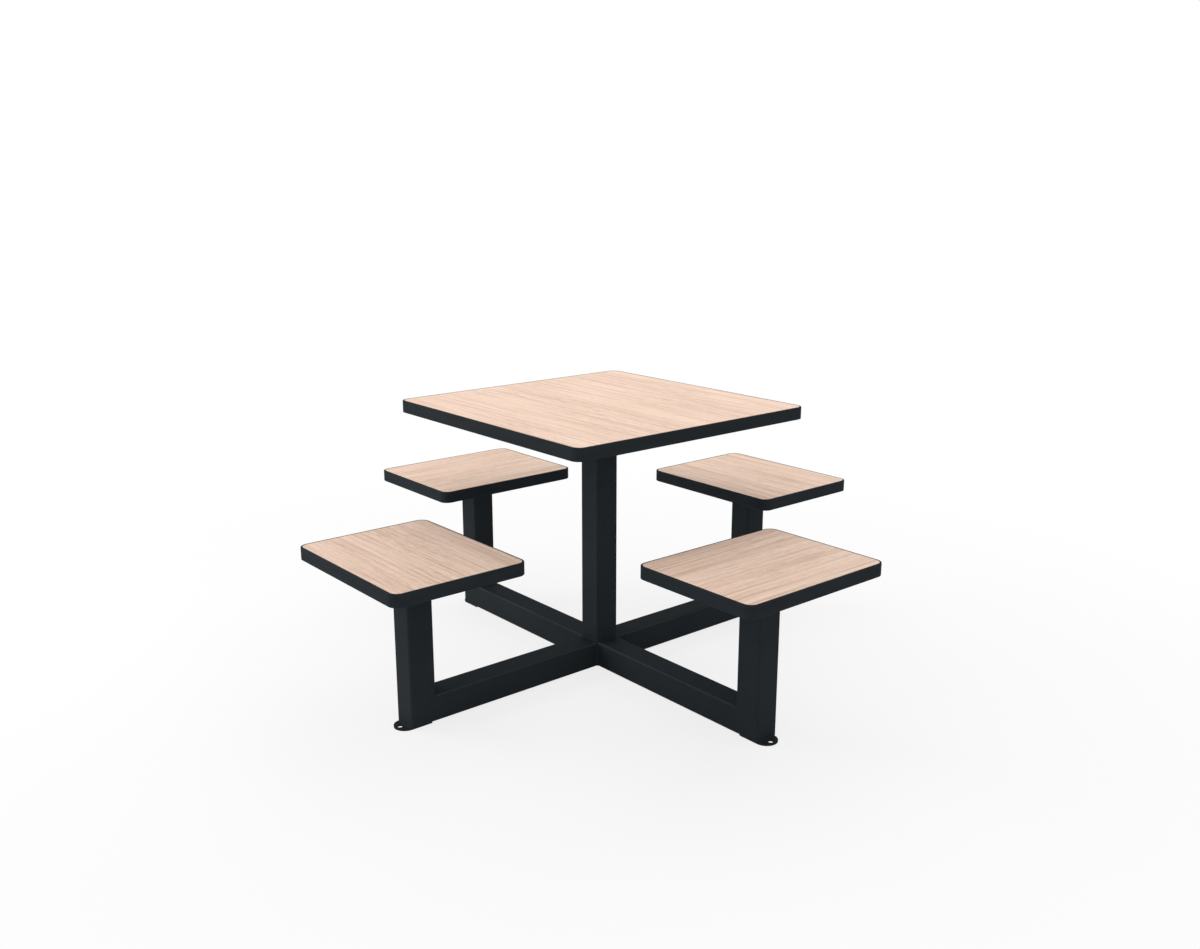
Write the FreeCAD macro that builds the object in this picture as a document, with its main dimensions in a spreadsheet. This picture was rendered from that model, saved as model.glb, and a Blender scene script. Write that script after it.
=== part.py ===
import FreeCAD, Part
import math
import os
from typing import NamedTuple

import Sketcher
from FreeCAD import Placement, Rotation, Vector

# Square canteen table on a cross-shaped tube base, with a swivelling seat on each of the four arms.
# Millimetres, +Z up, origin on the floor below the middle of the column.
SIZES = {
    # Table panel
    "table_side": 760,
    "table_height": 730,
    "table_thick": 32,
    "table_corner": 25,
    # Seat panels: width runs along the table's side, depth points at the column
    "seat_width": 460,
    "seat_depth": 360,
    "seat_height": 438,
    "seat_thick": 32,
    "seat_corner": 25,
    "seat_gap": 27.5,
    # Every panel is a board with a decorative laminate on top and a band round the edge
    "laminate_thick": 0.8,
    "band_thick": 5,
    "band_arris": 1,
    # Square tube of the column, arms and posts
    "tube_side": 70,
    "tube_wall": 3,
    "tube_corner": 6,
    "tube_inner_corner": 3,
    # Foot plates: flat bar with one round end that reaches past the post
    "foot_thick": 4,
    "foot_width": 60,
    "foot_reach": 27.5,
    "foot_tail": 59.5,
    "foot_hole": 14,
    "foot_hole_edge": 6.5,
    # Plate between the column and the table panel
    "top_plate_side": 350,
    "top_plate_thick": 6,
    "top_plate_corner": 15,
    "top_screw_inset": 25,
    # Swivel: the cap closes the post and holds the stud, and the swivel plate turns above it
    "cap_margin": 20,
    "cap_thick": 6,
    "cap_corner": 10,
    "swivel_margin": 35,
    "swivel_thick": 5,
    "swivel_corner": 12,
    "swivel_screw_inset": 15,
    # Flanged bearing: pressed into the swivel plate, it turns on the stud and slides on the cap
    "flange_inset": 5,
    "flange_thick": 6,
    "slide_gap": 0.2,
    "spigot_wall": 6,
    "spigot_proud": 1,
    "press_clearance": 0.05,
    "running_clearance": 0.05,
    # Stud with the washer and nut that hold the swivel plate down
    "stud_diameter": 16,
    "stud_chamfer": 1.5,
    "stud_end": 2,
    "end_float": 0.3,
    "washer_rim": 9,
    "washer_thick": 3,
    "nut_wall": 4,
    "nut_thick": 8,
    "thread_clearance": 0.05,
    # Hollow in the seat's board round the washer, nut and stud
    "hollow_rim": 4,
    "hollow_room": 2,
    # Hexagon-head wood screws through the plates into the boards
    "screw_diameter": 6,
    "screw_head_wall": 2,
    "screw_head_thick": 4,
    "screw_play": 0.25,
    "screw_room": 1,
    # Shares and counts
    "screw_bite_share": 0.6,
    "plate_screw_count": 4,
    # How far a cut runs past the face it leaves by
    "cut_overrun": 1,
}

# Levels above the floor and shared sizes, as expressions on the sheet
FOOT_TOP = "Sizes.foot_thick"
TABLE_UNDERSIDE = "(Sizes.table_height - Sizes.table_thick)"
COLUMN_TOP = f"({TABLE_UNDERSIDE} - Sizes.top_plate_thick)"
SEAT_UNDERSIDE = "(Sizes.seat_height - Sizes.seat_thick)"
SWIVEL_LEVEL = f"({SEAT_UNDERSIDE} - Sizes.swivel_thick)"
FLANGE_LEVEL = f"({SWIVEL_LEVEL} - Sizes.flange_thick)"
CAP_TOP = f"({FLANGE_LEVEL} - Sizes.slide_gap)"
POST_TOP = f"({CAP_TOP} - Sizes.cap_thick)"
SPIGOT_TOP = f"({SEAT_UNDERSIDE} + Sizes.spigot_proud)"
WASHER_LEVEL = f"({SPIGOT_TOP} + Sizes.end_float)"
NUT_LEVEL = f"({WASHER_LEVEL} + Sizes.washer_thick)"
STUD_TOP = f"({NUT_LEVEL} + Sizes.nut_thick + Sizes.stud_end)"
HOLLOW_TOP = f"({STUD_TOP} + Sizes.hollow_room)"
SEAT_AXIS = "(Sizes.table_side / 2 + Sizes.seat_gap + Sizes.seat_depth / 2)"
CAP_SIDE = "(Sizes.tube_side + 2 * Sizes.cap_margin)"
SWIVEL_SIDE = f"({CAP_SIDE} + 2 * Sizes.swivel_margin)"
THREADED_HOLE = "(Sizes.stud_diameter + 2 * Sizes.thread_clearance)"
BEARING_BORE = "(Sizes.stud_diameter + 2 * Sizes.running_clearance)"
SPIGOT_DIAMETER = f"({BEARING_BORE} + 2 * Sizes.spigot_wall)"
WASHER_DIAMETER = "(Sizes.stud_diameter + 2 * Sizes.washer_rim)"
HOLLOW_DIAMETER = f"({WASHER_DIAMETER} + 2 * Sizes.hollow_rim)"
SCREW_HOLE = "(Sizes.screw_diameter + 2 * Sizes.screw_play)"
PILOT_HOLE = "(Sizes.screw_diameter + 2 * Sizes.thread_clearance)"
TABLE_SCREW_PLACE = "(Sizes.top_plate_side / 2 - Sizes.top_screw_inset)"
SEAT_SCREW_PLACE = f"({SWIVEL_SIDE} / 2 - Sizes.swivel_screw_inset)"


class Side(NamedTuple):
    """One of the table's four sides: its name, turn about Z and outward direction."""

    name: str
    turn: float
    outward: tuple


class Panel(NamedTuple):
    """A panel's outline, level and fixing, each as an expression on the sheet."""

    name: str
    width: str
    depth: str
    corner: str
    thick: str
    underside: str
    screw_place: str


SIDES = (
    Side("right", 0, (1, 0)),
    Side("back", 90, (0, 1)),
    Side("left", 180, (-1, 0)),
    Side("front", 270, (0, -1)),
)
TABLE_PANEL = Panel(
    "table",
    "Sizes.table_side",
    "Sizes.table_side",
    "Sizes.table_corner",
    "Sizes.table_thick",
    TABLE_UNDERSIDE,
    TABLE_SCREW_PLACE,
)
SEAT_PANEL = Panel(
    "seat",
    "Sizes.seat_depth",
    "Sizes.seat_width",
    "Sizes.seat_corner",
    "Sizes.seat_thick",
    SEAT_UNDERSIDE,
    SEAT_SCREW_PLACE,
)

doc = FreeCAD.newDocument("SwivelSeatTable")
sheet = doc.addObject("Spreadsheet::Sheet", "Sizes")
for row, (alias, size) in enumerate(SIZES.items(), 1):
    sheet.set(f"A{row}", alias)
    sheet.set(f"B{row}", str(size))
    sheet.setAlias(f"B{row}", alias)
doc.recompute()
pieces = []


def new_body(label):
    """Start an empty body under its label."""
    body = doc.addObject("PartDesign::Body", label)
    body.Label = label
    return body


def origin_feature(body, role):
    """Find one of the body's own planes or axes."""
    return next(item for item in body.Origin.OriginFeatures if item.Role == role)


def add_sketch(body, name, plane="XY_Plane", across="0", up="0", along="0"):
    """Start a sketch on one of the body's planes, moved in and along that plane's normal."""
    sketch = body.newObject("Sketcher::SketchObject", f"{body.Name}_{name}")
    sketch.AttachmentSupport = [(origin_feature(body, plane), "")]
    sketch.MapMode = "FlatFace"
    sketch.setExpression("AttachmentOffset.Base.x", across)
    sketch.setExpression("AttachmentOffset.Base.y", up)
    sketch.setExpression("AttachmentOffset.Base.z", along)
    return sketch


def bind(sketch, kind, *places, name, size):
    """Add a named dimension to the sketch and tie it to an expression on the sheet."""
    value = sketch.evalExpression(size)
    index = sketch.addConstraint(Sketcher.Constraint(kind, *places, value))
    sketch.renameConstraint(index, name)
    sketch.setExpression(f"Constraints.{name}", size)


def draw_rounded_rectangle(sketch, name, width, depth, corner):
    """Draw a closed outline with four equal corner arcs, centred on the sketch's origin."""
    radius = sketch.evalExpression(corner)
    half_width = sketch.evalExpression(width) / 2 - radius
    half_depth = sketch.evalExpression(depth) / 2 - radius
    centres = [
        Vector(half_width, half_depth, 0),
        Vector(-half_width, half_depth, 0),
        Vector(-half_width, -half_depth, 0),
        Vector(half_width, -half_depth, 0),
    ]
    quarter = math.pi / 2
    arcs = []
    for number, centre in enumerate(centres):
        circle = Part.Circle(centre, Vector(0, 0, 1), radius)
        arc = Part.ArcOfCircle(circle, number * quarter, (number + 1) * quarter)
        arcs.append(sketch.addGeometry(arc))
    sides = []
    for number, start in enumerate(arcs):
        finish = arcs[(number + 1) % len(arcs)]
        line = Part.LineSegment(sketch.getPoint(start, 2), sketch.getPoint(finish, 1))
        side = sketch.addGeometry(line)
        sketch.addConstraint(Sketcher.Constraint("Tangent", start, 2, side, 1))
        sketch.addConstraint(Sketcher.Constraint("Tangent", side, 2, finish, 1))
        sides.append(side)
    top, left, bottom, right = sides
    for level in (top, bottom):
        sketch.addConstraint(Sketcher.Constraint("Horizontal", level))
    for upright in (left, right):
        sketch.addConstraint(Sketcher.Constraint("Vertical", upright))
    for arc in arcs[1:]:
        sketch.addConstraint(Sketcher.Constraint("Equal", arcs[0], arc))
    sketch.addConstraint(Sketcher.Constraint("Symmetric", arcs[0], 3, arcs[2], 3, -1, 1))
    bind(sketch, "Radius", arcs[0], name=f"{name}_corner", size=corner)
    bind(sketch, "DistanceX", left, 1, right, 1, name=f"{name}_width", size=width)
    bind(sketch, "DistanceY", bottom, 1, top, 1, name=f"{name}_depth", size=depth)


def draw_circle(sketch, name, diameter):
    """Draw a circle round the sketch's origin."""
    radius = sketch.evalExpression(diameter) / 2
    circle = sketch.addGeometry(Part.Circle(Vector(0, 0, 0), Vector(0, 0, 1), radius))
    sketch.addConstraint(Sketcher.Constraint("Coincident", circle, 3, -1, 1))
    bind(sketch, "Diameter", circle, name=name, size=diameter)


def draw_hexagon(sketch, name, flats):
    """Draw a hexagon of a size across its flats, centred on the sketch's origin."""
    radius = f"({flats}) / sqrt(3)"
    reach = sketch.evalExpression(radius)
    sixth = math.pi / 3
    corners = []
    for number in range(6):
        angle = (number + 0.5) * sixth
        corners.append(Vector(reach * math.cos(angle), reach * math.sin(angle), 0))
    rim = sketch.addGeometry(Part.Circle(Vector(0, 0, 0), Vector(0, 0, 1), reach), True)
    sketch.addConstraint(Sketcher.Constraint("Coincident", rim, 3, -1, 1))
    bind(sketch, "Radius", rim, name=name, size=radius)
    sides = []
    for number, corner in enumerate(corners):
        line = Part.LineSegment(corner, corners[(number + 1) % len(corners)])
        side = sketch.addGeometry(line)
        sketch.addConstraint(Sketcher.Constraint("PointOnObject", side, 1, rim))
        sides.append(side)
    for number, side in enumerate(sides):
        following = sides[(number + 1) % len(sides)]
        sketch.addConstraint(Sketcher.Constraint("Coincident", side, 2, following, 1))
    for side in sides[1:]:
        sketch.addConstraint(Sketcher.Constraint("Equal", sides[0], side))
    sketch.addConstraint(Sketcher.Constraint("Vertical", sides[-1]))


def draw_half_section(sketch, corners):
    """Draw a closed profile whose corners are given as radius and height expressions."""
    points = []
    for radius, height in corners:
        points.append(Vector(sketch.evalExpression(radius), sketch.evalExpression(height), 0))
    sides = []
    for number, point in enumerate(points):
        sides.append(sketch.addGeometry(Part.LineSegment(point, points[(number + 1) % len(points)])))
    for number, side in enumerate(sides):
        following = sides[(number + 1) % len(sides)]
        sketch.addConstraint(Sketcher.Constraint("Coincident", side, 2, following, 1))
    for number, (radius, height) in enumerate(corners):
        for kind, axis, size in (("DistanceX", -2, radius), ("DistanceY", -1, height)):
            if size == "0":
                sketch.addConstraint(Sketcher.Constraint("PointOnObject", sides[number], 1, axis))
            else:
                name = f"{kind}_{number}"
                bind(sketch, kind, -1, 1, sides[number], 1, name=name, size=size)


def pad(body, sketch, length):
    """Extrude a sketch along its normal."""
    feature = body.newObject("PartDesign::Pad", f"{sketch.Name}_pad")
    feature.Profile = sketch
    feature.setExpression("Length", length)
    doc.recompute()
    return feature


def turn(body, corners):
    """Revolve a half section about the body's upright axis."""
    sketch = add_sketch(body, "half_section", "XZ_Plane")
    draw_half_section(sketch, corners)
    feature = body.newObject("PartDesign::Revolution", f"{sketch.Name}_turned")
    feature.Profile = sketch
    feature.ReferenceAxis = (sketch, ["V_Axis"])
    doc.recompute()


def repeat(body, features):
    """Repeat a plate's fastener or hole about the body's upright axis."""
    pattern = body.newObject("PartDesign::PolarPattern", f"{body.Name}_pattern")
    pattern.Originals = features
    pattern.Axis = (origin_feature(body, "Z_Axis"), [""])
    pattern.setExpression("Occurrences", "Sizes.plate_screw_count")
    body.Tip = pattern
    doc.recompute()


def bore(body, diameter, depth, across="0", up="0"):
    """Cut a round hole upwards from the body's underside."""
    sketch = add_sketch(body, "hole", across=across, up=up)
    draw_circle(sketch, "hole_diameter", diameter)
    cut = body.newObject("PartDesign::Pocket", f"{sketch.Name}_cut")
    cut.Profile = sketch
    cut.Reversed = True
    cut.setExpression("Length", depth)
    before = body.Shape.Volume
    doc.recompute()
    if cut.Shape.Volume >= before:
        raise RuntimeError(f"{body.Label}: the hole cuts nothing")
    return cut


def bore_screw_holes(body, place, diameter, depth):
    """Cut the ring of screw holes upwards from the body's underside."""
    repeat(body, [bore(body, diameter, depth, across=place, up=place)])


def ease_rims(body, base, size):
    """Chamfer the outer rims of a flat piece's top and bottom faces."""
    rims = []
    for face in base.Shape.Faces:
        if abs(face.normalAt(0, 0).z) > math.cos(math.pi / 4):
            rims.extend(face.OuterWire.Edges)
    names = []
    for number, edge in enumerate(base.Shape.Edges, 1):
        if any(edge.isSame(rim) for rim in rims):
            names.append(f"Edge{number}")
    chamfer = body.newObject("PartDesign::Chamfer", f"{body.Name}_arris")
    chamfer.Base = (base, names)
    chamfer.setExpression("Size", size)
    doc.recompute()


def stand(body, level, side=None):
    """Put a body on the table's axis at a level, turned towards one side."""
    if side:
        body.Placement = Placement(Vector(0, 0, 0), Rotation(Vector(0, 0, 1), side.turn))
    body.setExpression("Placement.Base.z", level)


def stand_on_post(body, level, side):
    """Put a body on the axis of one side's seat post, with its X pointing outwards."""
    stand(body, level, side)
    outward_x, outward_y = side.outward
    body.setExpression("Placement.Base.x", f"{outward_x} * {SEAT_AXIS}")
    body.setExpression("Placement.Base.y", f"{outward_y} * {SEAT_AXIS}")


def draw_tube_section(sketch):
    """Draw the square tube's wall: the outer outline and the bore."""
    inside = "Sizes.tube_side - 2 * Sizes.tube_wall"
    draw_rounded_rectangle(sketch, "outer", "Sizes.tube_side", "Sizes.tube_side", "Sizes.tube_corner")
    draw_rounded_rectangle(sketch, "inside", inside, inside, "Sizes.tube_inner_corner")


def make_upright_tube(label, top):
    """Column or post: a tube that stands at the arms' underside and ends at a level."""
    body = new_body(label)
    sketch = add_sketch(body, "section")
    draw_tube_section(sketch)
    pad(body, sketch, f"{top} - {FOOT_TOP}")
    return body


def cut_mitre(body, across, up, towards):
    """Cut a tube's end at 45 degrees with a right triangle, whose legs run up the axes or down them."""
    leg = "Sizes.tube_side + 2 * Sizes.cut_overrun"
    sketch = add_sketch(body, "mitre", "XZ_Plane", across=across, up=up)
    reach = towards * sketch.evalExpression(leg)
    level = sketch.addGeometry(Part.LineSegment(Vector(0, 0, 0), Vector(reach, 0, 0)))
    upright = sketch.addGeometry(Part.LineSegment(Vector(0, 0, 0), Vector(0, reach, 0)))
    slope = sketch.addGeometry(Part.LineSegment(Vector(reach, 0, 0), Vector(0, reach, 0)))
    sketch.addConstraint(Sketcher.Constraint("Coincident", level, 1, -1, 1))
    sketch.addConstraint(Sketcher.Constraint("Coincident", upright, 1, -1, 1))
    sketch.addConstraint(Sketcher.Constraint("Coincident", level, 2, slope, 1))
    sketch.addConstraint(Sketcher.Constraint("Coincident", upright, 2, slope, 2))
    sketch.addConstraint(Sketcher.Constraint("Horizontal", level))
    sketch.addConstraint(Sketcher.Constraint("Vertical", upright))
    bind(sketch, "Distance", level, name="level_leg", size=leg)
    bind(sketch, "Distance", upright, name="upright_leg", size=leg)
    cut = body.newObject("PartDesign::Pocket", f"{sketch.Name}_cut")
    cut.Profile = sketch
    cut.Midplane = True
    cut.setExpression("Length", leg)
    before = body.Shape.Volume
    doc.recompute()
    if cut.Shape.Volume >= before:
        raise RuntimeError(f"{body.Label}: the mitre cuts nothing")


def make_arm(side):
    """Base arm: a level tube from the column's face to its mitre with the post."""
    body = new_body(f"base_arm_{side.name}")
    sketch = add_sketch(body, "section", "YZ_Plane", along="Sizes.tube_side / 2")
    draw_tube_section(sketch)
    pad(body, sketch, SEAT_AXIS)
    past = "Sizes.tube_side / 2 + Sizes.cut_overrun"
    cut_mitre(body, f"{SEAT_AXIS} + {past}", past, -1)
    stand(body, f"{FOOT_TOP} + Sizes.tube_side / 2", side)
    return body


def make_foot_plate(side):
    """Foot plate: flat bar under the post, with a half-round outer end and an anchor hole."""
    body = new_body(f"foot_plate_{side.name}")
    end_centre = "Sizes.tube_side / 2 + Sizes.foot_reach - Sizes.foot_width / 2"
    straight = "Sizes.foot_tail + Sizes.foot_reach - Sizes.foot_width / 2"
    sketch = add_sketch(body, "outline", across=end_centre)
    half = sketch.evalExpression("Sizes.foot_width / 2")
    length = sketch.evalExpression(straight)
    rim = Part.Circle(Vector(0, 0, 0), Vector(0, 0, 1), half)
    end = sketch.addGeometry(Part.ArcOfCircle(rim, -math.pi / 2, math.pi / 2))
    upper = sketch.addGeometry(Part.LineSegment(Vector(0, half, 0), Vector(-length, half, 0)))
    back = sketch.addGeometry(Part.LineSegment(Vector(-length, half, 0), Vector(-length, -half, 0)))
    lower = sketch.addGeometry(Part.LineSegment(Vector(-length, -half, 0), Vector(0, -half, 0)))
    sketch.addConstraint(Sketcher.Constraint("Coincident", end, 3, -1, 1))
    sketch.addConstraint(Sketcher.Constraint("Tangent", end, 2, upper, 1))
    sketch.addConstraint(Sketcher.Constraint("Tangent", lower, 2, end, 1))
    sketch.addConstraint(Sketcher.Constraint("Coincident", upper, 2, back, 1))
    sketch.addConstraint(Sketcher.Constraint("Coincident", back, 2, lower, 1))
    sketch.addConstraint(Sketcher.Constraint("Horizontal", upper))
    sketch.addConstraint(Sketcher.Constraint("Horizontal", lower))
    sketch.addConstraint(Sketcher.Constraint("Vertical", back))
    bind(sketch, "Radius", end, name="end_radius", size="Sizes.foot_width / 2")
    bind(sketch, "DistanceX", back, 1, -1, 1, name="straight_length", size=straight)
    pad(body, sketch, "Sizes.foot_thick")
    hole_edge = "(Sizes.foot_hole / 2 + Sizes.foot_hole_edge)"
    hole_place = f"Sizes.tube_side / 2 + Sizes.foot_reach - {hole_edge}"
    bore(body, "Sizes.foot_hole", "Sizes.foot_thick + Sizes.cut_overrun", across=hole_place)
    stand_on_post(body, "0", side)
    return body


def make_plate(label, side_length, corner, thick):
    """A square steel plate with rounded corners."""
    body = new_body(label)
    sketch = add_sketch(body, "outline")
    draw_rounded_rectangle(sketch, "plate", side_length, side_length, corner)
    pad(body, sketch, thick)
    return body


def make_cap_plate(side):
    """Post cap: square plate welded on the post, bored for the stud."""
    body = make_plate(f"post_cap_plate_{side.name}", CAP_SIDE, "Sizes.cap_corner", "Sizes.cap_thick")
    bore(body, THREADED_HOLE, "Sizes.cap_thick + Sizes.cut_overrun")
    stand_on_post(body, POST_TOP, side)
    return body


def make_stud(side):
    """Pivot stud: it stands in the cap plate, with a chamfered end up."""
    body = new_body(f"pivot_stud_{side.name}")
    radius = "Sizes.stud_diameter / 2"
    length = f"{STUD_TOP} - {POST_TOP}"
    outline = [
        ("0", "0"),
        (radius, "0"),
        (radius, f"{length} - Sizes.stud_chamfer"),
        (f"{radius} - Sizes.stud_chamfer", length),
        ("0", length),
    ]
    turn(body, outline)
    stand_on_post(body, POST_TOP, side)
    return body


def make_stud_nut(side):
    """The washer and the hexagon nut on the end of one stud."""
    washer = new_body(f"stud_washer_{side.name}")
    ring = add_sketch(washer, "ring")
    draw_circle(ring, "washer_diameter", WASHER_DIAMETER)
    draw_circle(ring, "washer_hole", THREADED_HOLE)
    pad(washer, ring, "Sizes.washer_thick")
    stand_on_post(washer, WASHER_LEVEL, side)
    nut = new_body(f"stud_hexagon_{side.name}")
    outline = add_sketch(nut, "outline")
    draw_hexagon(outline, "corner_reach", "Sizes.stud_diameter + 2 * Sizes.nut_wall")
    draw_circle(outline, "thread", THREADED_HOLE)
    pad(nut, outline, "Sizes.nut_thick")
    stand_on_post(nut, NUT_LEVEL, side)
    label = f"pivot_nut_{side.name}"
    group = doc.addObject("Part::Compound", label)
    group.Label = label
    group.Links = [washer, nut]
    return group


def make_bearing(side):
    """Flanged bearing: a broad flange under the swivel plate and a spigot through its bore."""
    body = new_body(f"swivel_bearing_{side.name}")
    hole = f"{BEARING_BORE} / 2"
    spigot = f"{SPIGOT_DIAMETER} / 2"
    flange = f"{CAP_SIDE} / 2 - Sizes.flange_inset"
    shoulder = "Sizes.flange_thick"
    top = f"{SPIGOT_TOP} - {FLANGE_LEVEL}"
    outline = [(hole, "0"), (flange, "0"), (flange, shoulder), (spigot, shoulder), (spigot, top), (hole, top)]
    turn(body, outline)
    stand_on_post(body, FLANGE_LEVEL, side)
    return body


def make_swivel_plate(side):
    """Swivel plate: square plate under the seat, bored for the bearing and the screws."""
    label = f"swivel_plate_{side.name}"
    body = make_plate(label, SWIVEL_SIDE, "Sizes.swivel_corner", "Sizes.swivel_thick")
    depth = "Sizes.swivel_thick + Sizes.cut_overrun"
    bore(body, f"{SPIGOT_DIAMETER} + 2 * Sizes.press_clearance", depth)
    bore_screw_holes(body, SEAT_SCREW_PLACE, SCREW_HOLE, depth)
    stand_on_post(body, SWIVEL_LEVEL, side)
    return body


def make_screws(label, panel, plate_thick):
    """The ring of hexagon-head screws that hold a plate to a panel's board, heads down."""
    body = new_body(label)
    place = panel.screw_place
    head = add_sketch(body, "head", across=place, up=place)
    draw_hexagon(head, "head_reach", "Sizes.screw_diameter + 2 * Sizes.screw_head_wall")
    head_pad = pad(body, head, "Sizes.screw_head_thick")
    shank = add_sketch(body, "shank", across=place, up=place, along="Sizes.screw_head_thick")
    draw_circle(shank, "shank_diameter", "Sizes.screw_diameter")
    shank_pad = pad(body, shank, f"{plate_thick} + {panel.thick} * Sizes.screw_bite_share")
    repeat(body, [head_pad, shank_pad])
    return body


def make_panel(panel, side=None):
    """The pieces of a panel: its board, the laminate on top and the band round both."""
    suffix = f"_{side.name}" if side else ""
    place = stand_on_post if side else stand
    inner_width = f"({panel.width} - 2 * Sizes.band_thick)"
    inner_depth = f"({panel.depth} - 2 * Sizes.band_thick)"
    inner_corner = f"({panel.corner} - Sizes.band_thick)"
    board_thick = f"({panel.thick} - Sizes.laminate_thick)"

    board = new_body(f"{panel.name}_board{suffix}")
    sketch = add_sketch(board, "outline")
    draw_rounded_rectangle(sketch, "board", inner_width, inner_depth, inner_corner)
    pad(board, sketch, board_thick)
    if side:
        bore(board, HOLLOW_DIAMETER, f"{HOLLOW_TOP} - {SEAT_UNDERSIDE}")
    pilot_depth = f"{panel.thick} * Sizes.screw_bite_share + Sizes.screw_room"
    bore_screw_holes(board, panel.screw_place, PILOT_HOLE, pilot_depth)
    place(board, panel.underside, side)

    laminate = new_body(f"{panel.name}_laminate{suffix}")
    sketch = add_sketch(laminate, "outline")
    draw_rounded_rectangle(sketch, "laminate", inner_width, inner_depth, inner_corner)
    pad(laminate, sketch, "Sizes.laminate_thick")
    place(laminate, f"{panel.underside} + {board_thick}", side)

    band = new_body(f"{panel.name}_edge_band{suffix}")
    sketch = add_sketch(band, "outline")
    draw_rounded_rectangle(sketch, "outer", panel.width, panel.depth, panel.corner)
    draw_rounded_rectangle(sketch, "inner", inner_width, inner_depth, inner_corner)
    strip = pad(band, sketch, panel.thick)
    ease_rims(band, strip, "min(Sizes.band_arris; Sizes.band_thick / 2)")
    place(band, panel.underside, side)
    pieces.extend([board, laminate, band])


def make_base():
    """The welded base: column, arms, posts, feet and the fixed half of each swivel."""
    column = make_upright_tube("column", COLUMN_TOP)
    stand(column, FOOT_TOP)
    pieces.append(column)
    for side in SIDES:
        post = make_upright_tube(f"seat_post_{side.name}", POST_TOP)
        cut_mitre(post, "-Sizes.tube_side / 2 - Sizes.cut_overrun", "-Sizes.cut_overrun", 1)
        stand_on_post(post, FOOT_TOP, side)
        pieces.extend([make_arm(side), post, make_foot_plate(side)])
        pieces.extend([make_cap_plate(side), make_stud(side), make_stud_nut(side)])


def make_table():
    """The table panel with the plate and the screws that join it to the column."""
    make_panel(TABLE_PANEL)
    plate = make_plate("top_plate", "Sizes.top_plate_side", "Sizes.top_plate_corner", "Sizes.top_plate_thick")
    bore_screw_holes(plate, TABLE_SCREW_PLACE, SCREW_HOLE, "Sizes.top_plate_thick + Sizes.cut_overrun")
    stand(plate, COLUMN_TOP)
    screws = make_screws("table_screws", TABLE_PANEL, "Sizes.top_plate_thick")
    stand(screws, f"{COLUMN_TOP} - Sizes.screw_head_thick")
    pieces.extend([plate, screws])


def make_seat(side):
    """One seat with everything that turns with it."""
    make_panel(SEAT_PANEL, side)
    screws = make_screws(f"seat_screws_{side.name}", SEAT_PANEL, "Sizes.swivel_thick")
    stand_on_post(screws, f"{SWIVEL_LEVEL} - Sizes.screw_head_thick", side)
    pieces.extend([screws, make_swivel_plate(side), make_bearing(side)])


def write_pieces():
    """Check every object of the document, then write each piece to its own file."""
    doc.recompute()
    for item in doc.Objects:
        if "Invalid" in item.State or "Error" in item.State:
            raise RuntimeError(f"{item.Label}: {item.State}")
    for piece in pieces:
        if piece.Shape.isNull() or not piece.Shape.isValid():
            raise RuntimeError(f"{piece.Label}: its shape is not valid")
    os.makedirs("parts", exist_ok=True)
    for piece in pieces:
        piece.Shape.exportStep(f"parts/{piece.Label}.step")


make_base()
make_table()
for seat_side in SIDES:
    make_seat(seat_side)
write_pieces()
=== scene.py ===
"""Looks of a square canteen table with four swivel seats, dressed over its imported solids.

Lengths are in metres and angles in radians.
"""

import logging
import math
from dataclasses import dataclass
from enum import Enum
from typing import Any, Callable, Optional, Union

import bmesh
import bpy
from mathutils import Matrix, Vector

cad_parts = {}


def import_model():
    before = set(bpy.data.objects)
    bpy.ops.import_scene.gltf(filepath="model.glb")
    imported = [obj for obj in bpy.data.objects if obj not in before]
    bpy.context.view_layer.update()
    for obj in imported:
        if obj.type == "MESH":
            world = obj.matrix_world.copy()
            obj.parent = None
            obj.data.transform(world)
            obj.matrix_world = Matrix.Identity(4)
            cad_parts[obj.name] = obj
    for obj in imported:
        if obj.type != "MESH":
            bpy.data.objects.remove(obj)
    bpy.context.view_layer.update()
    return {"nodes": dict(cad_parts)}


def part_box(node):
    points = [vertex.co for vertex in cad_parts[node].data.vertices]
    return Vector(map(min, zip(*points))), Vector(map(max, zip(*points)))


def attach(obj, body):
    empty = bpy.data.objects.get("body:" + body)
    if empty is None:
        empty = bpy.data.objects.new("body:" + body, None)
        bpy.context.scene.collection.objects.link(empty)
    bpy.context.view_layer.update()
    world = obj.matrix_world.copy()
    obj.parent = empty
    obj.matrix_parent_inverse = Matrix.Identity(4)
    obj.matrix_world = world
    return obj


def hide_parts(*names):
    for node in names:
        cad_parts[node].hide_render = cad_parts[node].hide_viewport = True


LOG = logging.getLogger("canteen_table")

Colour = tuple[float, float, float, float]
Stretch = tuple[float, float, float]
Operand = Union["Term", float]
Feed = Union["Term", float, tuple]
SocketKey = Union[str, int]
Nodes = dict[str, bpy.types.Object]

WHITE: Colour = (1.0, 1.0, 1.0, 1.0)
WHITE_STRENGTH = 1.0
UNSCALED: Stretch = (1.0, 1.0, 1.0)
UP = Vector((0, 0, 1))
LEVEL_NORMAL = 0.9
MERGE_REACH = 0.000005
NOISE_MIDDLE = 0.5

# A Mix node has sockets for every kind of data, and these are the ones for colours.
MIX_SHARE, MIX_FIRST, MIX_SECOND, MIX_RESULT = 0, 6, 7, 2

# The screen's tone curve has a straight toe, and is a power above it.
SCREEN_LEVELS = 255
TOE_END = 0.04045
TOE_SLOPE = 12.92
CURVE_LIFT = 0.055
CURVE_POWER = 2.4


def srgb(red: int, green: int, blue: int) -> Colour:
    """Turn a colour's screen values into the linear ones that shaders take.

    Args:
        red: the red level, from 0 to 255.
        green: the green level, from 0 to 255.
        blue: the blue level, from 0 to 255.

    Returns:
        The linear colour, opaque.
    """
    linear = []
    for level in (red, green, blue):
        share = level / SCREEN_LEVELS
        curved = ((share + CURVE_LIFT) / (1 + CURVE_LIFT)) ** CURVE_POWER
        linear.append(share / TOE_SLOPE if share <= TOE_END else curved)
    return (linear[0], linear[1], linear[2], 1.0)


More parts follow.
